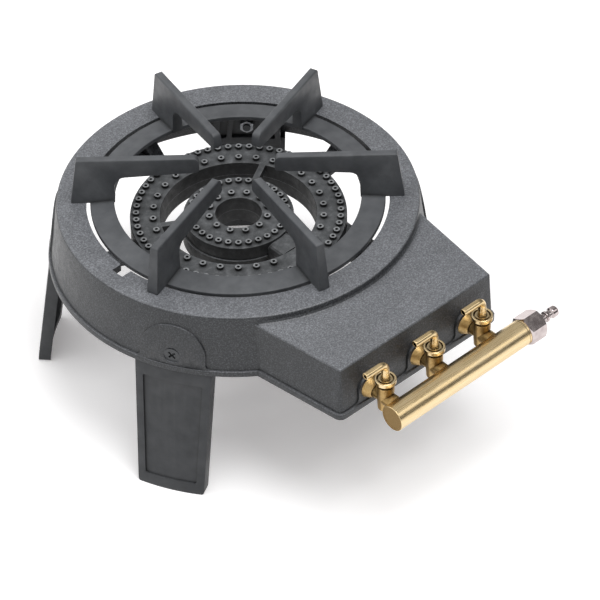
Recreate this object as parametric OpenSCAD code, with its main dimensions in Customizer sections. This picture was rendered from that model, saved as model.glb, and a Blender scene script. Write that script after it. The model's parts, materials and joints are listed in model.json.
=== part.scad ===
// Cast iron gas stove: a drum with a tap bay on four bolted legs, a lift-off pan support,
// an outer and an inner ring burner on three mixing tubes, three brass plug taps on one
// manifold, and a hose tail. Z is up, the ground is z = 0, the taps face -Y and the hose leaves
// along +X. The modules are drawn round the drum's axis; the last lines move them back so that
// the origin is under the middle of the whole stove.

/* [Drum] */
// Outer radius of the flat top flange
drum_top_r = 176.5; // [172:0.5:180]
// Outer radius of the flared wall at its bottom
drum_bottom_r = 186; // [183:0.5:190]
// Height of the flange top above the ground
flange_h = 205; // [195:1:220]
// Depth of the drum from flange top to bottom bead
drum_depth = 65; // [60:0.5:72]
// Thickness of the drum wall
wall = 4.5; // [4:0.25:6]
// Bevel inside the wall's bottom edge
lip_bevel = 3; // [1:0.25:3.5]
// Thickness of the top flange
flange_t = 8; // [6:0.5:10]
// Radius of the hole in the top flange
flange_in_r = 147.5; // [145:0.5:150]
// Rounding of the flange's outer edge
flange_edge_r = 2.5; // [1:0.25:4]
// Height of the bead round the bottom edge
bead_h = 6; // [4:0.5:8]
// How far the bead stands out of the wall
bead_proud = 2.5; // [1.5:0.25:4]
// How far the bell-shaped pads stand out of the wall
pad_proud = 2; // [1:0.25:3]
// Width of the notch in the flange
notch_w = 14; // [8:1:20]
// Depth of the notch in the flange
notch_d = 11; // [6:1:14]
// Direction of the notch
notch_az = 182; // [170:1:190]

/* [Tap bay] */
// Distance of the bay's end face from the drum axis
bay_front = 247; // [241:1:255]
// Width of the bay's end face at its bottom
bay_front_w = 201; // [196:1:208]
// How far the bay sits to the hose's side of the drum's axis
bay_shift = 4.5; // [0:0.5:6]
// Taper of each side of the bay, in degrees
bay_taper = 8; // [5:0.1:10]
// Inward lean of the bay's outer faces, in degrees
bay_draft = 3.5; // [2:0.25:4.5]
// Step from the flange top down to the bay's top
bay_drop = 8; // [6:0.5:12]
// Thickness of the bay's walls at their top
bay_wall = 5; // [4:0.25:6]
// Rounding of the bay's upright corners at their foot
bay_corner_r = 5; // [4.75:0.25:8]
// Bevel along the bay's top edges
bay_edge = 1; // [0.5:0.25:1.5]
// Height of the moulding between the bay's top and the drum
fillet_h = 3; // [2:0.25:4]

/* [Legs] */
// Width of a leg under the bead
leg_top_w = 77.5; // [72:0.5:82]
// Width of a leg at the ground
leg_foot_w = 67.5; // [62:0.5:72]
// Rounding of a foot's lower corners
foot_corner_r = 3; // [1:0.5:5]
// Outward lean of a leg, in degrees
leg_splay = 8.4; // [6:0.2:11]
// How far a leg's outer face stands back from the bead
leg_setback = 1.5; // [0.5:0.25:3]
// Depth of a leg from its face to its inner edge
leg_depth = 12; // [10:0.5:14]
// Thickness of a leg's outer plate
leg_plate = 5.5; // [4.5:0.25:6.5]
// Thickness of a leg's side flanges
leg_side = 6; // [5:0.5:8]
// Width of the border round a leg's panel
leg_border = 8; // [6:0.5:10]
// Depth of a leg's panel
leg_panel_d = 2; // [1:0.25:2.5]
// Direction of the front legs, in degrees behind the front corner
leg_front_az = 28; // [24:1:32]
// Direction of the left rear leg, in degrees from the side
leg_rear_left_az = 49; // [46:0.5:52]
// Direction of the right rear leg, in degrees from the side
leg_rear_right_az = 45.5; // [42:0.5:50]
// Thickness of the tab inside the drum
tab_t = 12; // [11:0.25:13]
// Height of the tab inside the drum
tab_h = 38; // [34:1:42]
// Width of the tab
tab_w = 68; // [60:1:74]
// Gap between the tab and the drum wall
tab_gap = 0.3; // [0.1:0.05:0.5]
// Height of the leg screw above the bottom bead
leg_screw_up = 17; // [15:0.5:20]
// Radius of the leg screw's shank
leg_screw_r = 4; // [3:0.5:4.5]
// Radius of the leg screw's head
leg_head_r = 7.9; // [7:0.1:8.5]

/* [Pan support] */
// Number of fingers
finger_n = 6; // [4:1:8]
// Direction of the first finger
finger_az = 18.3; // [0:0.1:60]
// Thickness of a finger at its top
finger_t = 8; // [6:0.5:10]
// Thickness of a finger at its base
finger_base_t = 11.5; // [10:0.5:13]
// Height of the pan above the flange
pan_h = 51; // [46:1:58]
// Radius of the finger tips
tip_r = 36; // [30:1:42]
// Height of a finger at its tip
tip_h = 16.5; // [14:0.5:20]
// Height of a finger where it leaves its base
arm_h = 21.5; // [19:0.5:26]
// How far a finger's foot reaches over the flange
foot_reach = 14.5; // [10:0.5:18]
// Inward draft of a finger's outer edge
foot_draft = 7.5; // [4:0.5:10]
// Gap between the ring and the flange
ring_gap = 4; // [2:0.25:5]
// Width of the ring
ring_w = 23.5; // [20:0.5:25]
// Thickness of the ring
ring_t = 5; // [4:0.5:6]
// How far the ring's outer edge stands above the flange
ring_up = 0.5; // [0:0.1:1.5]
// Rise of the ring from its outer to its inner edge
ring_rise = 2.3; // [1:0.1:3.5]
// Play between a finger's foot and the flange
foot_gap = 0.1; // [0.05:0.05:0.2]

/* [Burners] */
// Depth of the burner faces below the flange top
face_drop = 21; // [18:0.5:24]
// Outer radius of the outer burner
outer_r = 106; // [103:0.5:108]
// Inner radius of the outer burner
outer_in_r = 76.5; // [75:0.5:77.5]
// Outer radius of the inner burner
inner_r = 54; // [52:0.5:55]
// Radius of the inner burner's middle hole
inner_in_r = 22.5; // [20:0.5:24]
// Depth of the burner heads
head_h = 15; // [14:0.5:15.5]
// Depth of the burner bases
base_h = 14; // [13:0.5:16]
// Wall thickness of the burners
burner_wall = 5; // [4:0.25:5.5]
// Ledge of the inner base round its head
inner_ledge = 1.5; // [0.5:0.25:2.5]
// Distance of the outer burner's outer row of ports from its edge
row_a_in = 6; // [5:0.25:7]
// Number of ports in that row
row_a_n = 60; // [48:2:60]
// Distance of the outer burner's inner row of ports from its edge
row_b_in = 7; // [6.5:0.25:8]
// Number of ports in that row
row_b_n = 30; // [20:1:36]
// Distance of the inner burner's outer row of ports from its edge
row_c_in = 6.8; // [6:0.2:8]
// Number of ports in that row
row_c_n = 30; // [20:1:36]
// Distance of the inner burner's inner row of ports from its hole
row_d_in = 6.7; // [5.5:0.1:8]
// Number of ports in that row
row_d_n = 12; // [8:1:14]
// Radius of a port nub
nub_r = 3.2; // [2.5:0.1:3.5]
// Height of a port nub
nub_h = 3; // [2:0.25:4]
// Radius of a port's hole
port_r = 1.5; // [0.8:0.1:1.6]
// Width of the arms that carry the inner burner
arm_w = 6; // [5:0.5:8]
// Height of those arms
arm_t = 8; // [6:0.5:9]
// Width of the inner burner's gas duct
duct_w = 30; // [29:0.5:32]
// Depth of that duct's top below the burner faces
duct_drop = 2.5; // [1.5:0.25:4]
// Radius of the burner screws
burner_screw_r = 3; // [2.5:0.25:3]

/* [Mixing tubes] */
// Outer radius of a mixing tube
mix_r = 12; // [11:0.25:12.25]
// Bore radius of a mixing tube
mix_bore_r = 8.5; // [7.5:0.25:9]
// Radius of the bell mouth
mouth_r = 18; // [16:0.5:18.5]
// Length of the bell mouth
mouth_l = 24; // [18:1:28]
// Gap round a tube in its socket
socket_gap = 0.15; // [0.1:0.05:0.25]

/* [Taps] */
// Spacing of the taps
tap_pitch = 63; // [60:0.5:65]
// Height of the gas line above the bottom bead
tap_up = 19; // [18.5:0.25:20]
// Distance of the tap axis from the pad on the bay
tap_reach = 19.5; // [18.5:0.5:24]
// Radius of the tap's barrel at its top
barrel_r = 8.6; // [8.4:0.1:9.4]
// Height of the barrel's top above the gas line
barrel_up = 19.5; // [18:0.25:21]
// Depth of the barrel's bottom below the gas line
barrel_down = 13.5; // [12.5:0.25:15]
// Radius of the plug at its top
plug_r = 6.2; // [5.8:0.1:6.4]
// Running gap round the plug
plug_gap = 0.06; // [0.03:0.01:0.1]
// Outer radius of the cap
cap_r = 10.4; // [10.2:0.1:11.5]
// Height of the cap
cap_h = 4.5; // [4.25:0.25:6]
// Radius of the lever's rod
rod_r = 3.6; // [3:0.1:3.8]
// Height of the lever's arm above the cap
rod_up = 18; // [15:0.5:20]
// Reach of the lever's arm from the tap axis
rod_reach = 26; // [22:0.5:30]
// Bend radius of the lever
rod_bend = 7; // [5:0.5:9]
// Radius of the tap's outlet stub
stub_r = 6.5; // [5.5:0.25:7]
// Play of the stub and of screws in their holes
hole_gap = 0.3; // [0.2:0.05:0.5]
// Gap between a thread and its nut
thread_gap = 0.1; // [0.05:0.05:0.2]
// Turn of a tap from shut to open, in degrees
tap_turn = 90; // [80:1:95]

/* [Gas line] */
// Outer radius of the manifold tube
tube_r = 13; // [12:0.25:14]
// Wall of the manifold tube
tube_wall = 2; // [1.5:0.25:2.5]
// Distance of the manifold's axis from the tap axis
tube_reach = 25.5; // [24.5:0.5:28]
// Length of the tube beyond the left tap
tube_left = 16; // [14:0.5:20]
// Length of the tube beyond the right tap
tube_right = 27; // [18:0.5:32]
// Across flats of the hose nut
nut_af = 27; // [24:0.5:30]
// Length of the hose nut
nut_l = 21; // [19:0.5:24]
// Radius of the hose tail's ribs
barb_r = 5.6; // [5:0.1:6.5]
// Length of the hose tail outside its nut
barb_l = 25; // [22:0.5:30]

/* [Hidden] */
$fn = 96;

// Levels and radii that several pieces share
lip_z = flange_h - drum_depth;
bay_z = flange_h - bay_drop;
face_z = flange_h - face_drop;
split_z = face_z - head_h;
base_z = split_z - base_h;
gas_z = lip_z + tap_up;
leg_screw_z = lip_z + leg_screw_up;
small = 0.01;
past = 2;
clear = 0.3;

// Colours of the finishes
iron_paint = [0.33, 0.34, 0.36];
leg_paint = [0.24, 0.25, 0.27];
burner_iron = [0.14, 0.14, 0.15];
grate_iron = [0.25, 0.26, 0.28];
steel = [0.62, 0.62, 0.64];
brass = [0.78, 0.62, 0.32];
cast_brass = [0.66, 0.52, 0.30];
fibre = [0.45, 0.16, 0.12];

// Radius of the drum wall's outside at a height
function wall_r(z) = drum_bottom_r + (drum_top_r - drum_bottom_r) * (z - lip_z) / drum_depth;

// Half width of the bay at a distance in front of the drum axis
function bay_half(y) = bay_front_w / 2 + (bay_front - y) * tan(bay_taper);

function unit(v) = v / norm(v);
function flat(p) = [p[0], p[1]];

// Arc that rounds the corner b = [x, y, radius] between its neighbours a and c
function corner_arc(a, b, c, n) =
  let (
    u = unit(flat(a) - flat(b)),
    v = unit(flat(c) - flat(b)),
    half = acos(u * v) / 2,
    centre = flat(b) + unit(u + v) * b[2] / sin(half),
    from = flat(b) + u * b[2] / tan(half) - centre,
    to = flat(b) + v * b[2] / tan(half) - centre,
    start = atan2(from[1], from[0]),
    turn = atan2(from[0] * to[1] - from[1] * to[0], from * to)
  )
  b[2] == 0 ? [flat(b)]
  : [for (i = [0:n]) centre + b[2] * [cos(start + turn * i / n), sin(start + turn * i / n)]];

// Outline through corners [x, y, radius], with each corner rounded in n facets
function rounded(p, n = 5) = [
  for (i = [0:len(p) - 1])
    each corner_arc(p[(i + len(p) - 1) % len(p)], p[i], p[(i + 1) % len(p)], n)
];

// Upright sheet: draws a 2D outline of [across, height] and extrudes it outwards along X
module outward(from, to) {
  translate([from, 0, 0])
    rotate([90, 0, 90])
      linear_extrude(height = to - from)
        children();
}

// Turns a profile of [radius, distance] round an axis along -Y
module along_front(x, z) {
  translate([x, 0, z])
    rotate([90, 0, 0])
      rotate_extrude()
        children();
}

// Hexagonal bar with its across-flats size, standing on z = 0
module hex_bar(af, h) {
  cylinder(h = h, r = af / sqrt(3), $fn = 6);
}

// Hexagonal nut along Z with chamfered corners
module hex_nut(af, h, bore_r) {
  corner = af / sqrt(3);
  bevel = corner - af / 2;
  difference() {
    intersection() {
      hex_bar(af, h);
      rotate_extrude()
        polygon([[0, 0], [af / 2, 0], [corner, bevel / 2], [corner, h - bevel / 2], [af / 2, h], [0, h]]);
    }
    translate([0, 0, -past])
      cylinder(h = h + 2 * past, r = bore_r);
  }
}

// Body casting: the drum, the tap bay, the pads and the burner lugs

bell_r = 33;
bell_fillet = 7;
bell_up = 17.5;
tap_bell_r = 15;
tap_bell_fillet = 9;
lug_az = [8, 84, 151.5];
boss_az = [90, 200, 340];
lug_w = 20;
lug_root_w = 44;
lug_t = 4.5;
ear_ring_r = outer_r + 9;
ear_r = 7.5;
ear_t = 10;
leg_az = [180 + leg_front_az, -leg_front_az, 180 - leg_rear_left_az, leg_rear_right_az];
tap_x = [for (i = [-1:1]) bay_shift + i * tap_pitch];
bay_in = (bay_z - lip_z) * tan(bay_draft);
bay_skin = bay_wall + bay_in;
pad_y = bay_front + pad_proud / 2;

// Bell outline that stands on the bead: round top, straight sides, flared foot
module bell(r, up, fillet) {
  translate([0, lip_z + up])
    circle(r = r);
  translate([-r, lip_z + bead_h / 2])
    square([2 * r, up - bead_h / 2]);
  for (side = [-1, 1])
    difference() {
      translate([side * (r + fillet / 2 - past / 2), lip_z + bead_h + fillet / 2 - past / 2])
        square([fillet + past, fillet + past], center = true);
      translate([side * (r + fillet * 0.97), lip_z + bead_h + fillet * 0.93])
        circle(r = fillet);
    }
}

module drum_outside() {
  rotate_extrude()
    polygon(rounded([[0, flange_h, 0], [drum_top_r, flange_h, flange_edge_r],
      [wall_r(lip_z + bead_h), lip_z + bead_h, 0],
      [wall_r(lip_z + bead_h) + bead_proud, lip_z + bead_h, bead_proud / 3],
      [wall_r(lip_z) + bead_proud, lip_z, bead_proud / 2], [0, lip_z, 0]]));
}

module drum_inside() {
  under_z = flange_h - flange_t;
  rotate_extrude()
    polygon([[0, lip_z - past], [wall_r(lip_z) - wall + lip_bevel + past, lip_z - past],
      [wall_r(lip_z + lip_bevel) - wall, lip_z + lip_bevel],
      [wall_r(under_z) - wall, under_z], [flange_in_r, under_z],
      [flange_in_r, flange_h + past], [0, flange_h + past]]);
}

// Plan of the bay grown by some amount, from its end face back into the drum
function bay_outline(grow) =
  let (
    front = bay_front + grow,
    back = flange_in_r - notch_d,
    half_f = bay_half(front) + grow / cos(bay_taper),
    half_b = bay_half(back) + grow / cos(bay_taper),
    r = max(bay_corner_r + grow, 0)
  )
  rounded([[bay_shift + half_f, -front, r], [bay_shift + half_b, -back, 0],
    [bay_shift - half_b, -back, 0], [bay_shift - half_f, -front, r]], 3);

module bay_plan(grow) {
  polygon(bay_outline(grow));
}

// Slanting cuts along the top edges of a block whose outline runs anticlockwise
module edge_cuts(outline, z, edge) {
  long = 2 * bay_front;
  for (i = [0:len(outline) - 1])
    let (p = outline[i], d = outline[(i + 1) % len(outline)] - p)
      translate([p[0], p[1], z - edge])
        rotate([0, 0, atan2(d[1], d[0])])
          rotate([45, 0, 0])
            translate([-long, -4 * edge, 0])
              cube([2 * long, 8 * edge, 4 * edge]);
}

// Slanting cuts that draw in the sides of a block from its outline upwards
module draft_cuts(outline, z) {
  long = 2 * bay_front;
  for (i = [0:len(outline) - 1])
    let (p = outline[i], d = outline[(i + 1) % len(outline)] - p)
      translate([p[0], p[1], z])
        rotate([0, 0, atan2(d[1], d[0])])
          rotate([-bay_draft, 0, 0])
            translate([-long, -4 * bay_in, -past])
              cube([2 * long, 4 * bay_in, 2 * drum_depth]);
}

module bay_outside() {
  difference() {
    translate([0, 0, lip_z])
      linear_extrude(height = bay_z - lip_z)
        bay_plan(0);
    draft_cuts(bay_outline(0), lip_z);
    edge_cuts(bay_outline(-bay_in), bay_z, bay_edge);
  }
  translate([0, 0, lip_z])
    linear_extrude(height = bead_h)
      bay_plan(bead_proud);
}

// Moulding that runs round the drum on the bay's top
module bay_moulding() {
  intersection() {
    rotate_extrude()
      polygon([[flange_in_r, bay_z - past], [wall_r(bay_z) + fillet_h, bay_z - past],
        [wall_r(bay_z) + fillet_h, bay_z], [wall_r(bay_z) + fillet_h / 3, bay_z + fillet_h / 3],
        [wall_r(bay_z + fillet_h), bay_z + fillet_h], [flange_in_r, bay_z + fillet_h]]);
    translate([0, 0, bay_z - past])
      linear_extrude(height = fillet_h + 2 * past)
        bay_plan(-bay_in - 2 * bay_edge);
  }
}

// Raised pads for the legs on the drum wall
module leg_pads() {
  top_z = lip_z + bell_up + bell_r + past;
  for (az = leg_az)
    intersection() {
      rotate_extrude()
        polygon([[wall_r(lip_z) - wall / 2, lip_z + bead_h / 4],
          [wall_r(lip_z + bead_h / 4) + pad_proud, lip_z + bead_h / 4],
          [wall_r(top_z) + pad_proud, top_z], [wall_r(top_z) - wall / 2, top_z]]);
      rotate([0, 0, az])
        outward(flange_in_r, drum_bottom_r * 1.2)
          bell(bell_r, bell_up, bell_fillet);
    }
}

// Raised pads for the taps on the bay's end face
module tap_pads() {
  for (x = tap_x)
    translate([x, -bay_front + bay_skin - bay_wall / 2, 0])
      rotate([90, 0, 0])
        linear_extrude(height = pad_y - bay_front + bay_skin - bay_wall / 2)
          bell(tap_bell_r, tap_up, tap_bell_fillet);
}

// Lugs that carry the outer burner, each wider at the wall and with a gusset on top
module burner_lugs() {
  near = ear_ring_r - ear_r;
  flare_r = ear_ring_r + 3 * ear_r;
  reach = wall_r(base_z) - wall * 0.6;
  for (az = lug_az)
    rotate([0, 0, az])
      difference() {
        union() {
          translate([0, 0, base_z - lug_t])
            linear_extrude(height = lug_t)
              polygon([[near, -lug_w / 2], [flare_r, -lug_w / 2], [reach, -lug_root_w / 2],
                [reach, lug_root_w / 2], [flare_r, lug_w / 2], [near, lug_w / 2]]);
          translate([0, lug_t / 2, 0])
            rotate([90, 0, 0])
              linear_extrude(height = lug_t)
                polygon([[ear_ring_r + 1.2 * ear_r, base_z - lug_t / 2], [reach, base_z - lug_t / 2],
                  [wall_r(split_z) - wall / 2, split_z]]);
        }
        translate([ear_ring_r, 0, base_z - lug_t - past])
          cylinder(h = lug_t + 2 * past, r = burner_screw_r + hole_gap);
      }
}

// Screw and tap holes through the walls
module body_holes() {
  for (az = leg_az)
    rotate([0, 0, az])
      leg_screw_space(hole_gap);
  for (x = tap_x)
    translate([x, -pad_y - past, gas_z])
      rotate([-90, 0, 0])
        cylinder(h = pad_y - bay_front + bay_skin + 2 * past, r = stub_r + hole_gap);
  rotate([0, 0, notch_az])
    translate([flange_in_r - past, -notch_w / 2, flange_h - flange_t - past])
      cube([notch_d + past, notch_w, flange_t + 2 * past]);
}

module body_casting() {
  color(iron_paint) {
    difference() {
      union() {
        drum_outside();
        bay_outside();
        bay_moulding();
        leg_pads();
        tap_pads();
      }
      drum_inside();
      translate([0, 0, lip_z - past])
        linear_extrude(height = bay_z - bay_wall - lip_z + past)
          bay_plan(-bay_skin);
      body_holes();
    }
    burner_lugs();
  }
}

// Legs, their screws and their nuts

leg_top_r = wall_r(lip_z) + bead_proud - leg_setback;
tab_top_z = lip_z + tab_h;
head_out_r = wall_r(leg_screw_z) + pad_proud - 0.4;
head_cone_h = leg_head_r - leg_screw_r;
nut_seat_r = wall_r(tab_top_z) - wall - tab_gap - 3;
leg_nut_af = 3.25 * leg_screw_r;
leg_nut_h = 1.6 * leg_screw_r;

function leg_r(z) = leg_top_r + (lip_z - z) * tan(leg_splay);
function leg_half(z) = (leg_foot_w + (leg_top_w - leg_foot_w) * z / lip_z) / 2;

// Band of the leg's cone between two depths behind its outer face
module leg_band(near, far, z0, z1) {
  rotate_extrude()
    polygon([[leg_r(z0) - far, z0], [leg_r(z0) - near, z0], [leg_r(z1) - near, z1], [leg_r(z1) - far, z1]]);
}

// Front view of a leg between two heights, drawn in by an inset, with its lower and upper corners rounded
module leg_front(inset, z0, z1, low_r, high_r) {
  outward(flange_in_r * 0.9, leg_r(0) * 1.1)
    polygon(rounded([[leg_half(z0) - inset, z0, low_r], [leg_half(z1) - inset, z1, high_r],
      [inset - leg_half(z1), z1, high_r], [inset - leg_half(z0), z0, low_r]]));
}

module leg_slice(near, far, inset, z0, z1, low_r, high_r) {
  intersection() {
    leg_band(near, far, z0, z1);
    leg_front(inset, z0, z1, low_r, high_r);
  }
}

// Room that a leg screw takes, with a gap all round
module leg_screw_space(gap) {
  translate([0, 0, leg_screw_z])
    rotate([0, 90, 0]) {
      translate([0, 0, flange_in_r])
        cylinder(h = head_out_r - flange_in_r, r = leg_screw_r + gap);
      translate([0, 0, head_out_r - head_cone_h])
        cylinder(h = head_cone_h, r1 = leg_screw_r + gap / 2, r2 = leg_head_r + gap / 2);
      translate([0, 0, head_out_r])
        cylinder(h = 4 * past, r = leg_head_r + gap / 2);
    }
}

module leg_tab() {
  intersection() {
    rotate_extrude()
      polygon([[wall_r(lip_z) - wall - tab_gap - tab_t, lip_z - leg_depth / 2],
        [wall_r(lip_z) - wall - tab_gap, lip_z - leg_depth / 2], [wall_r(lip_z) - wall - tab_gap, lip_z],
        [wall_r(tab_top_z) - wall - tab_gap, tab_top_z],
        [wall_r(tab_top_z) - wall - tab_gap - tab_t, tab_top_z]]);
    outward(flange_in_r * 0.9, drum_bottom_r)
      polygon(rounded([[tab_w / 2, lip_z - leg_depth / 2, 0], [tab_w / 2, tab_top_z, tab_h / 4],
        [-tab_w / 2, tab_top_z, tab_h / 4], [-tab_w / 2, lip_z - leg_depth / 2, 0]]));
  }
}

// Pockets in the tab's inner side: one for the nut and one at each side, with slanting ribs between
module leg_pockets() {
  low_z = lip_z + 2;
  high_z = tab_top_z - 4;
  low_half = leg_nut_af + 3;
  high_half = leg_nut_af - 1;
  rib = 5;
  end = tab_w / 2 - rib;
  outward(nut_seat_r - 2 * tab_t, nut_seat_r)
    polygon(rounded([[low_half, low_z, 2], [high_half, high_z, 2], [-high_half, high_z, 2],
      [-low_half, low_z, 2]]));
  for (x = [-1, 1])
    outward(nut_seat_r - 2 * tab_t, nut_seat_r - 2)
      polygon(rounded([[x * (low_half + rib), low_z, 2], [x * (high_half + rib), high_z, 2],
        [x * (end - 3), high_z, 4],
        [x * end, low_z, 2]]));
}

module leg(az) {
  sole = 8;
  rib_z = lip_z * 0.45;
  color(leg_paint)
    rotate([0, 0, az])
      difference() {
        union() {
          leg_slice(0, leg_depth, 0, 0, lip_z, foot_corner_r, 0);
          leg_tab();
        }
        leg_slice(leg_plate, 2 * leg_depth, leg_side, sole, rib_z, leg_side, leg_side);
        leg_slice(leg_plate, 2 * leg_depth, leg_side, rib_z + leg_side, lip_z - leg_border,
          leg_side, leg_side);
        leg_slice(-leg_depth, leg_panel_d, leg_border, leg_border * 1.5, lip_z - leg_border * 1.75,
          leg_border / 4, leg_border / 4);
        leg_screw_space(hole_gap);
        leg_pockets();
      }
}

module leg_screws() {
  slot_w = 2;
  slot_d = 2.5;
  color(steel)
    for (az = leg_az)
      rotate([0, 0, az])
        translate([0, 0, leg_screw_z])
          rotate([0, 90, 0])
            difference() {
              union() {
                translate([0, 0, nut_seat_r - leg_nut_h - past + small])
                  cylinder(h = head_out_r - head_cone_h - nut_seat_r + leg_nut_h + past, r = leg_screw_r);
                translate([0, 0, head_out_r - head_cone_h])
                  cylinder(h = head_cone_h, r1 = leg_screw_r, r2 = leg_head_r);
              }
              for (turn = [45, 135])
                rotate([0, 0, turn])
                  translate([0, 0, head_out_r])
                    cube([leg_head_r * 1.15, slot_w, 2 * slot_d], center = true);
            }
}

module leg_nuts() {
  color(steel)
    for (az = leg_az)
      rotate([0, 0, az])
        translate([nut_seat_r - leg_nut_h, 0, leg_screw_z])
          rotate([0, 90, 0])
            hex_nut(leg_nut_af, leg_nut_h, leg_screw_r + thread_gap);
}

// Pan support: a flat ring in the flange's hole and fingers that stand on the flange

ring_r = flange_in_r - ring_gap;
ring_in_r = ring_r - ring_w;
ring_z = flange_h + ring_up - ring_t;
pan_z = flange_h + pan_h;
foot_r = flange_in_r + foot_reach;

module finger() {
  tip_lean = 1.5;
  base_lean = 1.5;
  bend_r = 11;
  foot_z = flange_h + foot_gap;
  under_z = pan_z - arm_h;
  top_edge = finger_t / 4;
  top_half = finger_t / 2;
  base_half = finger_base_t / 2;
  bite = 1;
  intersection() {
    translate([0, base_half, 0])
      rotate([90, 0, 0])
        linear_extrude(height = finger_base_t)
          polygon(rounded([[foot_r, foot_z, 1.5], [foot_r - foot_draft, pan_z, 3],
            [tip_r + tip_lean, pan_z, 6],
            [tip_r, pan_z - tip_h, 3], [ring_in_r - base_lean, under_z, bend_r],
            [ring_in_r - bite, ring_z + ring_rise + ring_t / 2, 0], [ring_r - bite, ring_z + ring_t / 2, 0],
            [ring_r - bite, foot_z, 0]]));
    outward(0, foot_r + past)
      polygon(rounded([[-base_half, ring_z, 0], [base_half, ring_z, 0], [top_half, pan_z, top_edge],
        [-top_half, pan_z, top_edge]], 3));
  }
}

module pan_support() {
  edge = 1;
  color(grate_iron) {
    rotate_extrude()
      polygon(rounded([[ring_in_r, ring_z + ring_rise, edge], [ring_r, ring_z, edge],
        [ring_r, ring_z + ring_t, edge], [ring_in_r, ring_z + ring_rise + ring_t, edge]]));
    for (i = [0:finger_n - 1])
      rotate([0, 0, finger_az + i * 360 / finger_n])
        finger();
  }
}

// Burners: heads with rows of ports over trough-shaped bases

row_a_r = outer_r - row_a_in;
row_b_r = outer_in_r + row_b_in;
row_c_r = inner_r - row_c_in;
row_d_r = inner_in_r + row_d_in;
divider_r = (row_a_r + row_b_r) / 2;
tunnel_half = mix_r + 3.5;
tunnel_z = gas_z + mix_r + 1.5;
row_skip = tunnel_half + nub_r;
front_az = 270 + atan(tap_x[1] / divider_r);
sock_bore_r = mix_r + socket_gap;
sock_r = sock_bore_r + 3;
sock_l = 10;
tube_in = 7.5;
sock_y = outer_r + 4;
duct_end = sqrt(pow(outer_in_r, 2) - pow(duct_w / 2 + abs(tap_x[1]), 2)) - 0.5;
divider = 4;
boss_r = 6.5;
inner_boss_ring_r = (row_c_r + row_d_r) / 2;
arm_az = [30, 150];
arm_end_r = outer_in_r + burner_wall * 0.6;
burner_edge = 0.8;

// Directions of a row's ports, leaving out those over the tunnel in front
function row_angles(n, phase, r, skip) = [
  for (i = [0:n - 1])
    let (a = phase + i * 360 / n)
      if (cos(a - front_az) < 0 || abs(r * sin(a - front_az)) > skip) a
];

// Ring with rounded top edges between two radii and two heights
module ring_block(r0, r1, z0, z1) {
  rotate_extrude()
    polygon(rounded([[r0, z0, 0], [r1, z0, 0], [r1, z1, burner_edge], [r0, z1, burner_edge]]));
}

// Plain channel between two radii
module channel(r0, r1, z0, z1) {
  rotate_extrude()
    translate([r0, z0])
      square([r1 - r0, z1 - z0]);
}

module row_nubs(r, angles) {
  for (a = angles)
    rotate([0, 0, a])
      translate([r, 0, face_z - small])
        cylinder(h = nub_h + small, r = nub_r, $fn = 24);
}

module row_ports(r, angles) {
  for (a = angles)
    rotate([0, 0, a])
      translate([r, 0, face_z - burner_wall - past])
        cylinder(h = nub_h + burner_wall + 2 * past, r = port_r, $fn = 16);
}

// Posts for screws on a circle
module posts(r, az, z0, z1, post_r) {
  for (a = az)
    rotate([0, 0, a])
      translate([r, 0, z0])
        cylinder(h = z1 - z0, r = post_r);
}

// Block in front of the outer burner, where the middle mixing tube passes
module front_block(half, z0, z1) {
  translate([tap_x[1] - half, -outer_r - past, z0])
    cube([2 * half, outer_r - outer_in_r + 4 * past, z1 - z0]);
}

module outer_burner_head() {
  a = row_angles(row_a_n, 0, row_a_r, row_skip);
  b = row_angles(row_b_n, 0, row_b_r, row_skip);
  roof_z = face_z - burner_wall;
  color(burner_iron)
    difference() {
      union() {
        ring_block(outer_in_r, outer_r, split_z, face_z);
        row_nubs(row_a_r, a);
        row_nubs(row_b_r, b);
      }
      difference() {
        union() {
          channel(outer_in_r + burner_wall, divider_r - divider / 2, split_z - past, roof_z);
          channel(divider_r + divider / 2, outer_r - burner_wall, split_z - past, roof_z);
        }
        posts(divider_r, boss_az, split_z - 2 * past, roof_z + past, boss_r);
        front_block(tunnel_half + burner_wall, split_z - 2 * past, roof_z + past);
      }
      row_ports(row_a_r, a);
      row_ports(row_b_r, b);
      posts(divider_r, boss_az, split_z - past, roof_z, burner_screw_r + thread_gap);
      front_block(tunnel_half, split_z - past, tunnel_z);
      burner_arms(socket_gap);
    }
}

// Flat arms that hang the inner burner in notches of the outer one
module burner_arms(gap) {
  for (a = arm_az)
    rotate([0, 0, a])
      translate([inner_r - burner_wall, -arm_w / 2 - gap, face_z - arm_t])
        cube([arm_end_r - inner_r + burner_wall + gap, arm_w + 2 * gap, arm_t + (gap > 0 ? past : 0)]);
}

// Lug that screws the outer burner down
module burner_ear() {
  difference() {
    union() {
      translate([ear_ring_r, 0, base_z])
        cylinder(h = ear_t, r = ear_r);
      translate([outer_r - burner_wall / 2, -ear_r, base_z])
        cube([ear_ring_r - outer_r + burner_wall / 2, 2 * ear_r, ear_t]);
    }
    translate([ear_ring_r, 0, base_z - past])
      cylinder(h = ear_t + 2 * past, r = burner_screw_r + thread_gap);
  }
}

// The left inlet ends in the outer channel, the right one passes through to the inner channel
inlet_end = [sqrt(pow(divider_r - divider / 2, 2) - pow(abs(tap_x[0]) - mix_bore_r, 2)) + 1,
  sqrt(pow(outer_in_r + 2, 2) - pow(tap_x[2] - mix_bore_r, 2))];
inlet_x = [tap_x[0], tap_x[2]];

// Inlet bodies below the ring, kept clear of the head
module burner_inlets() {
  difference() {
    for (i = [0:1])
      side_socket(inlet_x[i], inlet_end[i] - burner_wall, sock_y, sock_r);
    translate([0, 0, split_z])
      cylinder(h = 2 * sock_r, r = outer_r + clear);
    translate([0, 0, gas_z - 2 * sock_r])
      cylinder(h = 4 * sock_r, r = outer_in_r + 1);
  }
}

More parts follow.
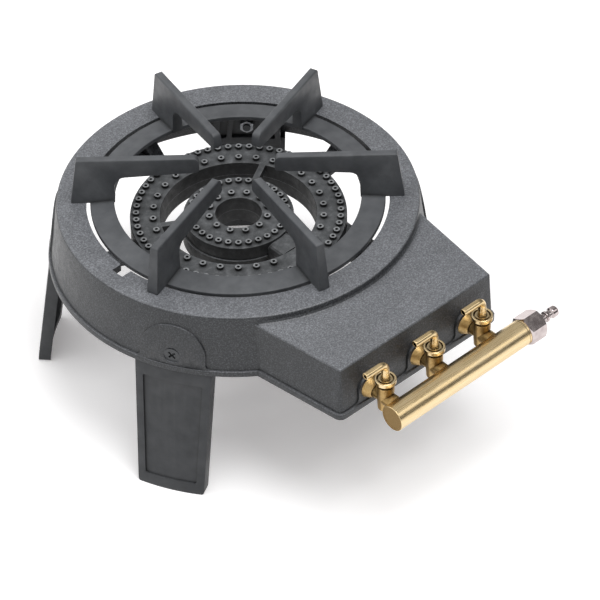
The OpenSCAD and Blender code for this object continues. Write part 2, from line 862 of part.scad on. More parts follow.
module outer_burner_base() {
  floor_z = base_z + burner_wall;
  color(burner_iron)
    difference() {
      union() {
        channel(outer_in_r, outer_r, base_z, split_z);
        burner_inlets();
        for (a = lug_az)
          rotate([0, 0, a])
            burner_ear();
      }
      difference() {
        union() {
          channel(outer_in_r + burner_wall, divider_r - divider / 2, floor_z, split_z + past);
          difference() {
            channel(divider_r + divider / 2, outer_r - burner_wall, floor_z, split_z + past);
            side_socket(tap_x[2], 0, outer_r, mix_bore_r + burner_wall / 2);
          }
        }
        posts(divider_r, boss_az, base_z, split_z + 2 * past, boss_r);
        front_block(tunnel_half + burner_wall, base_z, split_z + 2 * past);
      }
      front_block(tunnel_half, base_z - past, split_z + past);
      for (i = [0:1]) {
        side_socket(inlet_x[i], sock_y - sock_l, sock_y + past, sock_bore_r);
        side_socket(inlet_x[i], inlet_end[i], sock_y, mix_bore_r);
      }
      posts(divider_r, boss_az, base_z - past, split_z + past, burner_screw_r + hole_gap);
    }
}

// Round bar along -Y on the gas line, between two distances in front of the drum axis
module side_socket(x, from, to, r) {
  translate([x, -from, gas_z])
    rotate([90, 0, 0])
      cylinder(h = to - from, r = r);
}

module inner_burner_head() {
  c = row_angles(row_c_n, 0, row_c_r, 0);
  d = row_angles(row_d_n, 2, row_d_r, 0);
  roof_z = face_z - burner_wall;
  color(burner_iron)
    difference() {
      union() {
        ring_block(inner_in_r, inner_r, split_z, face_z);
        burner_arms(0);
        row_nubs(row_c_r, c);
        row_nubs(row_d_r, d);
      }
      difference() {
        channel(inner_in_r + burner_wall / 2, inner_r - burner_wall / 2, split_z - past, roof_z);
        posts(inner_boss_ring_r, boss_az, split_z - 2 * past, roof_z + past, boss_r);
      }
      row_ports(row_c_r, c);
      row_ports(row_d_r, d);
      posts(inner_boss_ring_r, boss_az, split_z - past, roof_z, burner_screw_r + thread_gap);
    }
}

// Gas duct in front of the inner burner, kept clear of its head
module inner_duct() {
  low_z = gas_z - sock_r;
  high_z = face_z - duct_drop;
  half = duct_w / 2;
  start = inner_boss_ring_r;
  difference() {
    translate([tap_x[1], -start, 0])
      rotate([90, 0, 0])
        linear_extrude(height = duct_end - start)
          polygon(rounded([[-half, low_z, half / 2], [half, low_z, half / 2], [half, high_z, half / 2],
            [-half, high_z, half / 2]]));
    translate([0, 0, split_z])
      cylinder(h = 2 * head_h, r = inner_r + clear);
  }
}

module inner_burner_base() {
  floor_z = base_z + burner_wall;
  color(burner_iron)
    difference() {
      union() {
        channel(inner_in_r, inner_r + inner_ledge, base_z, split_z);
        inner_duct();
      }
      difference() {
        channel(inner_in_r + burner_wall / 2, inner_r + inner_ledge - burner_wall, floor_z, split_z + past);
        posts(inner_boss_ring_r, boss_az, base_z, split_z + 2 * past, boss_r);
      }
      side_socket(tap_x[1], duct_end - sock_l, duct_end + past, sock_bore_r);
      side_socket(tap_x[1], inner_boss_ring_r + burner_wall, duct_end, mix_bore_r);
      posts(inner_boss_ring_r, boss_az, base_z - past, split_z + past, burner_screw_r + hole_gap);
    }
}

// Hexagon-headed screws from below on a circle
module burner_screw_set(r, az, seat_z, l) {
  head_t = 4;
  color(steel)
    for (a = az)
      rotate([0, 0, a])
        translate([r, 0, 0]) {
          translate([0, 0, seat_z - head_t])
            hex_bar(burner_screw_r * 10 / 3, head_t);
          translate([0, 0, seat_z - small])
            cylinder(h = l, r = burner_screw_r);
        }
}

module outer_burner_screws() {
  burner_screw_set(divider_r, boss_az, base_z, base_h + head_h / 2);
}

module inner_burner_screws() {
  burner_screw_set(inner_boss_ring_r, boss_az, base_z, base_h + head_h / 2);
}

module burner_lug_screws() {
  burner_screw_set(ear_ring_r, lug_az, base_z - lug_t, lug_t + ear_t);
}

// Mixing tubes: a venturi with a bell mouth in front of its injector

jet_l = 13;
lock_nut_h = 5;
stub_end = bay_front - bay_skin - lock_nut_h - 2;
mouth_y = stub_end - 10;

module mixing_tube(x, socket_y) {
  color(burner_iron)
    along_front(x, gas_z)
      polygon([[mix_bore_r, socket_y], [mix_r, socket_y], [mix_r, mouth_y - mouth_l],
        [mix_r + (mouth_r - mix_r) * 0.35, mouth_y - mouth_l * 0.5], [mouth_r, mouth_y - mouth_l * 0.15],
        [mouth_r, mouth_y], [mouth_r - 2, mouth_y],
        [mix_bore_r + (mouth_r - mix_r) * 0.3, mouth_y - mouth_l * 0.5],
        [mix_bore_r, mouth_y - mouth_l]]);
}

// Taps: a barrel with a tapered plug, a cap and a bent-rod lever

tap_y = pad_y + tap_reach;
line_y = tap_y + tube_reach;
barrel_z = gas_z + barrel_up;
cap_z = barrel_z + cap_h;
plug_top_z = barrel_z - 4;
plug_bottom_z = gas_z - barrel_down + 3;
plug_low_r = plug_r * 0.8;
stem_r = 4;
stop_z = plug_top_z + 1.9;
stop_pin_r = 1.1;
gas_bore_r = 3;
rod_z = cap_z + rod_up;
lever_seat_z = barrel_z + cap_h / 2;
spigot_r = 5.9;

module at_tap(i) {
  translate([tap_x[i], -tap_y, 0])
    children();
}

// Slot in the barrel that the plug's stop pin turns in
module stop_slot() {
  spare = 18;
  slot_h = 3.8;
  translate([0, 0, barrel_z - slot_h])
    rotate([0, 0, 180 - spare])
      rotate_extrude(angle = tap_turn + 2 * spare)
        translate([stem_r, 0])
          square([cap_r, slot_h + past]);
}

module tap_body(i) {
  chamber_r = plug_r + 1;
  collar_r = 11.5;
  color(cast_brass)
    at_tap(i)
      difference() {
        union() {
          rotate_extrude()
            polygon(rounded([[0, gas_z - barrel_down, 0], [barrel_r * 0.82, gas_z - barrel_down, 1.5],
              [barrel_r * 0.92, gas_z + 2, 0], [barrel_r, gas_z + barrel_up * 0.4, 0],
              [barrel_r, barrel_z, 0.6],
              [0, barrel_z, 0]]));
          translate([0, 0, gas_z])
            rotate([-90, 0, 0]) {
              cylinder(h = tap_y - stub_end, r = stub_r);
              translate([0, 0, tap_reach - 8])
                cylinder(h = 8, r1 = stub_r + 1, r2 = collar_r);
            }
          translate([0, 0, gas_z])
            rotate([90, 0, 0])
              difference() {
                cylinder(h = tube_reach, r = stub_r + 1);
                translate([0, 0, tube_reach])
                  rotate([0, 90, 0])
                    cylinder(h = 4 * cap_r, r = tube_r + clear, center = true);
              }
          translate([0, 0, gas_z])
            rotate([90, 0, 0])
              cylinder(h = tube_reach - tube_r + tube_wall + 0.5, r = spigot_r);
        }
        rotate_extrude()
          polygon([[0, plug_bottom_z - 1], [plug_low_r + plug_gap, plug_bottom_z - 1],
            [plug_low_r + plug_gap, plug_bottom_z],
            [plug_r + plug_gap, plug_top_z], [chamber_r, plug_top_z], [chamber_r, barrel_z + past],
            [0, barrel_z + past]]);
        stop_slot();
        translate([0, tap_y - stub_end + past, gas_z])
          rotate([90, 0, 0])
            cylinder(h = tap_y - stub_end + tube_reach, r = gas_bore_r);
        translate([0, tap_y - stub_end + past, gas_z])
          rotate([90, 0, 0])
            cylinder(h = 6 + past, r = 4.5);
      }
}

module tap_plug(i) {
  color(brass)
    at_tap(i)
      difference() {
        union() {
          rotate_extrude()
            polygon([[0, plug_bottom_z], [plug_low_r, plug_bottom_z], [plug_r, plug_top_z],
              [stem_r, plug_top_z],
              [stem_r, lever_seat_z], [0, lever_seat_z]]);
          translate([0, 0, stop_z])
            rotate([0, -90, 0])
              cylinder(h = barrel_r - 0.6, r = stop_pin_r, $fn = 24);
        }
        translate([0, 0, gas_z])
          rotate([0, 90, 0])
            cylinder(h = 4 * plug_r, r = gas_bore_r, center = true);
        translate([0, 0, lever_seat_z - 5])
          cylinder(h = 5 + past, r = 2.5 + thread_gap);
      }
}

module tap_cap(i) {
  rim = 2.2;
  floor_t = 1.2;
  color(brass)
    at_tap(i)
      rotate_extrude()
        polygon(rounded([[stem_r + hole_gap, barrel_z + 0.6, 0], [plug_r, barrel_z + 0.6, 0],
          [plug_r, barrel_z, 0],
          [cap_r, barrel_z, 0.5], [cap_r, cap_z, 0.8], [cap_r - rim, cap_z, 0.6],
          [cap_r - rim, barrel_z + 0.6 + floor_t, 0], [stem_r + hole_gap, barrel_z + 0.6 + floor_t, 0]]));
}

module tap_lever(i) {
  collar_r = 6.6;
  collar_h = 1.8;
  root_r = rod_r + 0.9;
  arm_l = rod_reach - rod_bend;
  hole_r = rod_r / 2;
  hole_d = 3;
  color(brass)
    at_tap(i) {
      translate([0, 0, lever_seat_z - 4.5])
        cylinder(h = 4.5 + small, r = 2.5);
      translate([0, 0, lever_seat_z])
        cylinder(h = collar_h, r = collar_r);
      translate([0, 0, lever_seat_z])
        cylinder(h = rod_z - rod_bend - lever_seat_z, r1 = root_r, r2 = rod_r);
      translate([-rod_bend, 0, rod_z - rod_bend])
        rotate([90, 0, 0])
          rotate_extrude(angle = 90)
            translate([rod_bend, 0])
              circle(r = rod_r);
      translate([-rod_bend, 0, rod_z])
        rotate([0, -90, 0])
          rotate_extrude()
            polygon(rounded([[0, 0, 0], [rod_r, 0, 0], [rod_r, arm_l, 0.8], [hole_r, arm_l, 0.3],
              [hole_r, arm_l - hole_d, 0], [0, arm_l - hole_d, 0]]));
    }
}

module tap_spring_washers() {
  color(steel)
    for (i = [0:2])
      at_tap(i)
        rotate_extrude()
          polygon([[stem_r + hole_gap, barrel_z - 0.5], [plug_r + 0.5, barrel_z - 0.9],
            [plug_r + 0.5, barrel_z - 0.3],
            [stem_r + hole_gap, barrel_z + 0.3]]);
}

// Lock nuts and injectors on the tap stubs, inside the bay
module tap_lock_nuts() {
  color(steel)
    for (x = tap_x)
      translate([x, -bay_front + bay_skin, gas_z])
        rotate([-90, 0, 0])
          hex_nut(3.4 * stub_r, lock_nut_h, stub_r + thread_gap);
}

module injectors() {
  color(brass)
    for (x = tap_x)
      translate([x, -stub_end, gas_z])
        rotate([-90, 0, 0])
          difference() {
            union() {
              translate([0, 0, -5])
                cylinder(h = 5 + small, r = 4.5 - thread_gap);
              hex_bar(2 * stub_r, jet_l * 0.4);
              translate([0, 0, jet_l * 0.4 - small])
                cylinder(h = jet_l * 0.6, r1 = 4.5, r2 = 2.5);
            }
            translate([0, 0, -5 - past])
              cylinder(h = jet_l + past, r = 1.8);
            cylinder(h = jet_l + past, r = 0.6);
          }
}

// Gas line: manifold tube, its plug, and the hose fittings on its right end

tube_x0 = tap_x[0] - tube_left;
tube_x1 = tap_x[2] + tube_right;
bore = tube_r - tube_wall;

// Places a shape that is drawn along +Z on the manifold's axis, from a given x
module on_line(x) {
  translate([x, -line_y, gas_z])
    rotate([0, 90, 0])
      children();
}

module manifold_tube() {
  color(brass)
    difference() {
      on_line(tube_x0)
        rotate_extrude()
          polygon(rounded([[bore, 0, 0], [tube_r, 0, 0.6], [tube_r, tube_x1 - tube_x0, 0.6],
            [bore, tube_x1 - tube_x0, 0]]));
      for (x = tap_x)
        translate([x, -line_y, gas_z])
          rotate([-90, 0, 0])
            cylinder(h = 2 * tube_r, r = spigot_r + thread_gap);
    }
}

module manifold_end_plug() {
  color(brass)
    on_line(tube_x0 + 0.2)
      cylinder(h = 6, r = bore - thread_gap);
}

flange_w = 2;
thread_r = 8.2;
thread_l = nut_l * 0.5;
seal_t = 1.5;
tail_flange_t = 2.5;
tail_x = tube_x1 + flange_w + thread_l + seal_t;

module hose_adapter() {
  color(brass)
    on_line(tube_x1)
      difference() {
        union() {
          translate([0, 0, -8])
            cylinder(h = 8 + small, r = bore - thread_gap);
          cylinder(h = flange_w, r = tube_r);
          translate([0, 0, flange_w - small])
            cylinder(h = thread_l, r = thread_r);
        }
        translate([0, 0, -8 - past])
          cylinder(h = 8 + flange_w + thread_l + 2 * past, r = 4);
      }
}

module hose_seal() {
  color(fibre)
    on_line(tail_x - seal_t)
      difference() {
        cylinder(h = seal_t, r = thread_r - 0.2);
        translate([0, 0, -past])
          cylinder(h = seal_t + 2 * past, r = 4);
      }
}

module hose_nut() {
  corner = nut_af / sqrt(3);
  inner_l = tail_x + tail_flange_t - tube_x1 - flange_w;
  color(steel)
    on_line(tube_x1 + flange_w)
      difference() {
        intersection() {
          hex_bar(nut_af, nut_l);
          rotate_extrude()
            polygon([[0, 0], [nut_af / 2, 0], [corner, 1.2], [corner, nut_l - 2.5],
              [nut_af / 2 - 1.5, nut_l], [0, nut_l]]);
        }
        translate([0, 0, -past])
          cylinder(h = inner_l + past, r = thread_r + thread_gap);
        cylinder(h = nut_l + past, r = barb_r + hole_gap);
      }
}

module hose_tail() {
  root = tail_flange_t;
  out = tube_x1 + flange_w + nut_l - tail_x;
  tip = out + barb_l;
  neck_r = barb_r * 0.74;
  shank_r = barb_r * 0.9;
  shank_end = out + 0.6;
  color(steel)
    on_line(tail_x)
      rotate_extrude()
        polygon(rounded([[2.5, 0, 0], [thread_r - 0.2, 0, 0], [thread_r - 0.2, root, 0], [shank_r, root, 0],
          [shank_r, shank_end, 0], [barb_r, shank_end, 0], [barb_r, out + barb_l * 0.2, 0.8],
          [neck_r, out + barb_l * 0.24, 0], [neck_r, out + barb_l * 0.34, 0],
          [barb_r, out + barb_l * 0.38, 0.7], [barb_r * 0.96, out + barb_l * 0.46, 0.7],
          [neck_r, out + barb_l * 0.52, 0],
          [neck_r, out + barb_l * 0.64, 0], [barb_r, out + barb_l * 0.7, 1.6],
          [barb_r, out + barb_l * 0.92, 2],
          [barb_r * 0.6, tip, 0.6], [2.5, tip, 0]]));
}

// Shift from the drum's axis to the middle of the stove, from its front and rear reach
front_reach = line_y + max(tube_r, nut_af / 2);
rear_reach = wall_r(lip_z) + bead_proud;

module placed() {
  translate([0, (front_reach - rear_reach) / 2, 0])
    children();
}

placed() body_casting();
placed() pan_support();
placed() outer_burner_head();
placed() outer_burner_base();
placed() inner_burner_head();
placed() inner_burner_base();
placed() outer_burner_screws();
placed() inner_burner_screws();
placed() burner_lug_screws();
placed() mixing_tube(tap_x[0], sock_y - tube_in);  // mixing_tube_left
placed() mixing_tube(tap_x[1], duct_end - tube_in);  // mixing_tube_centre
placed() mixing_tube(tap_x[2], sock_y - tube_in);  // mixing_tube_right
placed() leg(leg_az[0]);  // leg_front_left
placed() leg(leg_az[1]);  // leg_front_right
placed() leg(leg_az[2]);  // leg_rear_left
placed() leg(leg_az[3]);  // leg_rear_right
placed() leg_screws();
placed() leg_nuts();
placed() tap_body(0);  // tap_body_left
placed() tap_body(1);  // tap_body_centre
placed() tap_body(2);  // tap_body_right
placed() tap_plug(0);  // tap_plug_left
placed() tap_plug(1);  // tap_plug_centre
placed() tap_plug(2);  // tap_plug_right
placed() tap_cap(0);  // tap_cap_left
placed() tap_cap(1);  // tap_cap_centre
placed() tap_cap(2);  // tap_cap_right
placed() tap_lever(0);  // tap_lever_left
placed() tap_lever(1);  // tap_lever_centre
placed() tap_lever(2);  // tap_lever_right
placed() tap_spring_washers();
placed() tap_lock_nuts();
placed() injectors();
placed() manifold_tube();
placed() manifold_end_plug();
placed() hose_adapter();
placed() hose_seal();
placed() hose_nut();
placed() hose_tail();
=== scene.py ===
# %% [markdown]
# # A cast iron gas stove
# The stove comes in as solid parts in metres: a drum with a tap bay on four legs, ring burners,
# a loose pan support and brass taps on a manifold. This lesson gives each part its surface, softens
# the edges that a casting has rounded, and sets up the floor, the light and the camera.

# %% Load the parts
import json
import math

import bmesh
import bpy
from mathutils import Matrix, Vector


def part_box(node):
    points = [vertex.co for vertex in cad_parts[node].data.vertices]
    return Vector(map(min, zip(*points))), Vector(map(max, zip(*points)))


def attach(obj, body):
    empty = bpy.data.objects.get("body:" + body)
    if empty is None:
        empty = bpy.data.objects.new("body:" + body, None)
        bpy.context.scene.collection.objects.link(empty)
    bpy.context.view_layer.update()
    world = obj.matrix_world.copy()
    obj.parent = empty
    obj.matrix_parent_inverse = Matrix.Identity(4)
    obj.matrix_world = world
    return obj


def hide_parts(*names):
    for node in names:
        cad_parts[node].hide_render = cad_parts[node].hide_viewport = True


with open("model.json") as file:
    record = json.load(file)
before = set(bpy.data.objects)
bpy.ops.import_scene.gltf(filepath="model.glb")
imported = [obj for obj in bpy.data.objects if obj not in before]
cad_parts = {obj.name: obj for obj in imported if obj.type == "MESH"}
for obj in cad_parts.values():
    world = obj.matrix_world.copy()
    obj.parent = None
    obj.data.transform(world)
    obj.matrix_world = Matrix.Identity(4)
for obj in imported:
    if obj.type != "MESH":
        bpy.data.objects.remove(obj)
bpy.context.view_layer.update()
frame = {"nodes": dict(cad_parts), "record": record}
nodes = frame["nodes"]
slot_of = {s["node"]: s["material_slot"] for s in frame["record"]["subparts"]}
body_of = {n: body for body, names in frame["record"]["behaviour"]["bodies"].items() for n in names}

# %% [markdown]
# A material in Blender is a small graph. One helper adds a node, fills in its values and joins its
# inputs, so that each finish below reads as a list of steps. Colours are written as sRGB hex, the
# way a paint chart gives them, and another helper turns them into the linear values that light needs.
# Patterns are sized by their real width: a noise has about one blob per unit, so 1000 / mm is its scale.
# The last helper ends each rough finish: it adds the bump, and paints shade into crevices and inner corners.

# %% Helpers for materials
def linear(hex_colour):
    parts = [int(hex_colour[i:i + 2], 16) / 255 for i in (1, 3, 5)]
    return [c / 12.92 if c <= 0.04045 else ((c + 0.055) / 1.055) ** 2.4 for c in parts] + [1.0]


def add(tree, kind, values=None, links=None, stops=(), **settings):
    made = tree.nodes.new(kind)
    for name, value in settings.items():
        setattr(made, name, value)
    for socket, value in (values or {}).items():
        made.inputs[socket].default_value = value
    for socket, source in (links or {}).items():
        tree.links.new(source, made.inputs[socket])
    for i, (position, colour) in enumerate(stops):
        points = made.color_ramp.elements
        point = points[i] if i < len(points) else points.new(position)
        point.position, point.color = position, linear(colour)
    return made


def per_metre(width_mm):
    return 1000.0 / width_mm


def new_material(name):
    material = bpy.data.materials.new(name)
    material.use_nodes = True
    tree = material.node_tree
    tree.nodes.clear()
    shader = add(tree, "ShaderNodeBsdfPrincipled")
    add(tree, "ShaderNodeOutputMaterial", links={"Surface": shader.outputs["BSDF"]})
    place = add(tree, "ShaderNodeTexCoord").outputs["Object"]
    return material, tree, shader, place


def looks_up(tree, low, high):
    normal = add(tree, "ShaderNodeNewGeometry").outputs["Normal"]
    height = add(tree, "ShaderNodeSeparateXYZ", links={0: normal}).outputs["Z"]
    return add(tree, "ShaderNodeMapRange", {"From Min": low, "From Max": high},
               {"Value": height}).outputs[0]


def finish_surface(tree, shader, colour, rough, relief, depth_mm, crevice_shade, reach_mm):
    bump = add(tree, "ShaderNodeBump", {"Strength": 0.5, "Distance": depth_mm / 1000}, {"Height": relief})
    # Painted shade: ambient occlusion darkens crevices and inner corners towards the given shade colour.
    open_sky = add(tree, "ShaderNodeAmbientOcclusion", {"Distance": reach_mm / 1000}, only_local=True,
                   samples=8).outputs["AO"]
    unoccluded = add(tree, "ShaderNodeMapRange", {"From Min": 0.5, "From Max": 0.96},
                {"Value": open_sky}).outputs[0]
    shown = add(tree, "ShaderNodeMix", {6: linear(crevice_shade)}, {"Factor": unoccluded, 7: colour},
                data_type="RGBA").outputs[2]
    tree.links.new(shown, shader.inputs["Base Color"])
    tree.links.new(rough, shader.inputs["Roughness"])
    tree.links.new(bump.outputs["Normal"], shader.inputs["Normal"])


print("linear mid grey", [round(c, 3) for c in linear("#808080")[:3]])

# %% [markdown]
# The drum and the tap bay are grey iron cast in sand, then sprayed with a heat-proof stove paint.
# The sand leaves a grain of about 1.4 mm, which the paint only half fills. The upward faces are painted
# paler than the sides: painted light on the tops and painted shade on the sides. The grain goes into the
# bump and, lightly, into the colour; broader pits change the gloss, and a slow cloud keeps large faces from
# looking flat.

# %% Sand-cast iron under stove paint
def sand_cast_iron():
    material, tree, shader, place = new_material("sand_cast_iron_stove_paint")
    grain = add(tree, "ShaderNodeTexNoise", {"Scale": per_metre(1.4), "Detail": 2.5, "Roughness": 0.6},
                {"Vector": place}).outputs["Fac"]
    pits = add(tree, "ShaderNodeTexNoise", {"Scale": per_metre(5.5), "Detail": 2.0},
               {"Vector": place}).outputs["Fac"]
    cloud = add(tree, "ShaderNodeTexNoise", {"Scale": per_metre(34), "Detail": 2.0},
                {"Vector": place}).outputs["Fac"]
    # Painted light and shade: the side ramp is a shaded copy of the top ramp, and upward faces take the
    # paler one.
    side = add(tree, "ShaderNodeValToRGB", links={"Fac": grain},
               stops=[(0.34, "#222325"), (0.52, "#323437"), (0.68, "#505255")]).outputs["Color"]
    lit_top = add(tree, "ShaderNodeValToRGB", links={"Fac": grain},
              stops=[(0.34, "#585a5e"), (0.52, "#707276"), (0.68, "#8c8e93")]).outputs["Color"]
    paint_lit_and_shaded = add(tree, "ShaderNodeMix", links={"Factor": looks_up(tree, 0.5, 0.95), 6: side, 7: lit_top},
                data_type="RGBA").outputs[2]
    tone = add(tree, "ShaderNodeMapRange",
               {"From Min": 0.3, "From Max": 0.7, "To Min": 0.92, "To Max": 1.08},
               {"Value": cloud}).outputs[0]
    toned = add(tree, "ShaderNodeHueSaturation", links={"Color": paint_lit_and_shaded, "Value": tone}).outputs["Color"]
    rough = add(tree, "ShaderNodeMapRange",
                {"From Min": 0.3, "From Max": 0.7, "To Min": 0.46, "To Max": 0.34},
                {"Value": pits}).outputs[0]
    finish_surface(tree, shader, toned, rough, grain, 0.5, "#101112", 6)
    return material


finishes = {"sand_cast_paint": sand_cast_iron()}
print("made", finishes["sand_cast_paint"].name)

# %% [markdown]
# The pan support and the legs are cast in finer sand and painted, so they are smoother: a soft
# satin grey with a faint cloudiness. The faces that look up are painted paler than the sides: painted
# light on the tops and painted shade on the sides. Both finishes come from one recipe with different
# colours.

# %% Smooth painted iron
def smooth_iron(name, side, lit_top, gloss):
    material, tree, shader, place = new_material(name)
    cloud = add(tree, "ShaderNodeTexNoise", {"Scale": per_metre(14), "Detail": 4.0},
                {"Vector": place}).outputs["Fac"]
    skin = add(tree, "ShaderNodeTexNoise", {"Scale": per_metre(1.3), "Detail": 2.0},
               {"Vector": place}).outputs["Fac"]
    # Painted light and shade: the side colours are a shaded copy of the top colours, mixed by how far a face
    # looks up.
    shaded_sides = add(tree, "ShaderNodeValToRGB", links={"Fac": cloud},
                stops=[(0.3, side[0]), (0.7, side[1])]).outputs["Color"]
    lit_tops = add(tree, "ShaderNodeValToRGB", links={"Fac": cloud},
               stops=[(0.3, lit_top[0]), (0.7, lit_top[1])]).outputs["Color"]
    colour = add(tree, "ShaderNodeMix", links={"Factor": looks_up(tree, 0.55, 0.97), 6: shaded_sides, 7: lit_tops},
                 data_type="RGBA").outputs[2]
    rough = add(tree, "ShaderNodeMapRange",
                {"From Min": 0.3, "From Max": 0.7, "To Min": gloss + 0.08, "To Max": gloss - 0.05},
                {"Value": cloud}).outputs[0]
    finish_surface(tree, shader, colour, rough, skin, 0.18, "#131415", 6)
    return material


finishes["grate_iron"] = smooth_iron("fine_cast_iron_grate", ["#3c3e41", "#4a4c4f"],
                                     ["#505255", "#606265"], 0.46)
finishes["leg_paint"] = smooth_iron("fine_cast_iron_legs", ["#282a2d", "#333538"],
                                    ["#3c3e41", "#4a4c4f"], 0.46)
print("made", finishes["grate_iron"].name, "and", finishes["leg_paint"].name)

# %% [markdown]
# The burners are bare iron with mottled faces. Their walls are painted nearly black and their faces paler:
# painted shade on the walls and painted light on the faces that look up. The small nubs round the ports have
# their sides painted black as painted shade; their tops are machined, so they show bare metal. The height
# above the burner face picks out both. The corners of the castings are painted a little paler, partly
# handling wear and partly painted highlight, and the difference between the true and the rounded normal
# finds them.

# %% Black burner iron with painted shade
def burner_iron():
    material, tree, shader, place = new_material("oiled_black_burner_iron")
    mottle = add(tree, "ShaderNodeTexNoise", {"Scale": per_metre(7), "Detail": 5.0, "Roughness": 0.65},
                 {"Vector": place}).outputs["Fac"]
    grit = add(tree, "ShaderNodeTexNoise", {"Scale": per_metre(1.4), "Detail": 2.0},
               {"Vector": place}).outputs["Fac"]
    shaded_wall = add(tree, "ShaderNodeValToRGB", links={"Fac": mottle},
               stops=[(0.3, "#1b1c1d"), (0.55, "#262728"), (0.75, "#363739")]).outputs["Color"]
    face = add(tree, "ShaderNodeValToRGB", links={"Fac": mottle},
               stops=[(0.3, "#434547"), (0.52, "#57595b"), (0.72, "#707275")]).outputs["Color"]
    machined = add(tree, "ShaderNodeValToRGB", links={"Fac": grit},
                   stops=[(0.3, "#717375"), (0.7, "#9c9ea0")]).outputs["Color"]
    # Painted light and shade: faces that look up take the paler face colour, and walls take the nearly black
    # wall colour.
    skin = add(tree, "ShaderNodeMix", links={"Factor": looks_up(tree, 0.6, 0.95), 6: shaded_wall, 7: face},
               data_type="RGBA").outputs[2]
    # Painted highlight and wear: corners found by the rounded normal are painted paler with the machined
    # colour.
    rounded = add(tree, "ShaderNodeBevel", {"Radius": 0.0011}, samples=4).outputs["Normal"]
    normal = add(tree, "ShaderNodeNewGeometry").outputs["Normal"]
    flat = add(tree, "ShaderNodeVectorMath", links={0: rounded, 1: normal},
               operation="DOT_PRODUCT").outputs["Value"]
    edge = add(tree, "ShaderNodeMapRange", {"From Min": 0.97, "From Max": 0.85, "To Max": 0.45},
               {"Value": flat}).outputs[0]
    worn_and_highlit = add(tree, "ShaderNodeMix", links={"Factor": edge, 6: skin, 7: machined},
               data_type="RGBA").outputs[2]
    height = add(tree, "ShaderNodeSeparateXYZ", links={0: place}).outputs["Z"]
    nub_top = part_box("inner_burner_head")[1].z
    # Painted shade: nub sides, from just above the burner face up to below the rim, are painted nearly
    # black.
    nub_side_shade = add(tree, "ShaderNodeMapRange", {"From Min": nub_top - 0.0029, "From Max": nub_top - 0.0025},
                 {"Value": height}).outputs[0]
    shaded_nubs = add(tree, "ShaderNodeMix", {7: linear("#111112")}, {"Factor": nub_side_shade, 6: worn_and_highlit},
               data_type="RGBA").outputs[2]
    rim = add(tree, "ShaderNodeMapRange", {"From Min": nub_top - 0.0005, "From Max": nub_top - 0.0001},
              {"Value": height}).outputs[0]
    colour = add(tree, "ShaderNodeMix", links={"Factor": rim, 6: shaded_nubs, 7: machined},
                 data_type="RGBA").outputs[2]
    rough = add(tree, "ShaderNodeMapRange",
                {"From Min": 0.3, "From Max": 0.7, "To Min": 0.62, "To Max": 0.45},
                {"Value": mottle}).outputs[0]
    finish_surface(tree, shader, colour, rough, grit, 0.35, "#050505", 5)
    return material


finishes["burner_iron"] = burner_iron()
print("made", finishes["burner_iron"].name)

# %% [markdown]
# The tap bodies are brass cast in sand: brown-gold, rough and a little tarnished. The manifold,
# the caps and the levers are drawn or turned brass, paler and brighter, with fine lines along the
# bar. Metals take their look from what they reflect, so the colour stays simple and the roughness
# carries the detail. The lines of a drawn bar are too fine to show, so they are drawn 1 mm apart.
# A sawn end is duller than the bar, so faces that look along the bar to the left get a browner colour.

# %% Cast brass and drawn brass
def brass(name, colours, gloss, spot_mm, along, depth_mm):
    material, tree, shader, place = new_material(name)
    shader.inputs["Metallic"].default_value = 1.0
    bar = add(tree, "ShaderNodeMapping", {"Scale": (along, 1, 1)}, {"Vector": place}).outputs["Vector"]
    spots = add(tree, "ShaderNodeTexNoise", {"Scale": per_metre(spot_mm), "Detail": 4.0, "Roughness": 0.6},
                {"Vector": bar}).outputs["Fac"]
    stains = add(tree, "ShaderNodeTexNoise", {"Scale": per_metre(9), "Detail": 3.0},
                 {"Vector": bar}).outputs["Fac"]
    mark = add(tree, "ShaderNodeMix", {"Factor": 0.5}, {2: stains, 3: spots}, data_type="FLOAT").outputs[0]
    round_wall = add(tree, "ShaderNodeValToRGB", links={"Fac": mark},
                     stops=[(0.3, colours[0]), (0.5, colours[1]), (0.7, colours[2])]).outputs["Color"]
    normal = add(tree, "ShaderNodeNewGeometry").outputs["Normal"]
    across = add(tree, "ShaderNodeSeparateXYZ", links={0: normal}).outputs["X"]
    sawn = add(tree, "ShaderNodeMapRange", {"From Min": -0.96, "From Max": -0.99},
               {"Value": across}).outputs[0]
    colour = add(tree, "ShaderNodeMix", {7: linear("#7c6338")}, {"Factor": sawn, 6: round_wall},
                 data_type="RGBA").outputs[2]
    rough = add(tree, "ShaderNodeMapRange",
                {"From Min": 0.3, "From Max": 0.7, "To Min": gloss[0], "To Max": gloss[1]},
                {"Value": spots}).outputs[0]
    finish_surface(tree, shader, colour, rough, spots, depth_mm, "#2c1e0c", 4)
    return material


finishes["cast_brass"] = brass("sand_cast_brass", ["#8a6d42", "#b0925f", "#cfb585"], (0.34, 0.52),
                               spot_mm=1.6, along=1, depth_mm=0.4)
finishes["brass"] = brass("drawn_brass", ["#d8bc88", "#e6cd9f", "#f2dfb8"], (0.22, 0.34),
                          spot_mm=1.0, along=0.04, depth_mm=0.03)
print("made", finishes["cast_brass"].name, "and", finishes["brass"].name)

# %% [markdown]
# The hose nut and hose tail are turned steel with a bright nickel plate that has a warm tint. The
# plain nuts and screws inside are zinc plated, the leg screws are painted over with the drum, and
# the washer at the hose is red fibre.

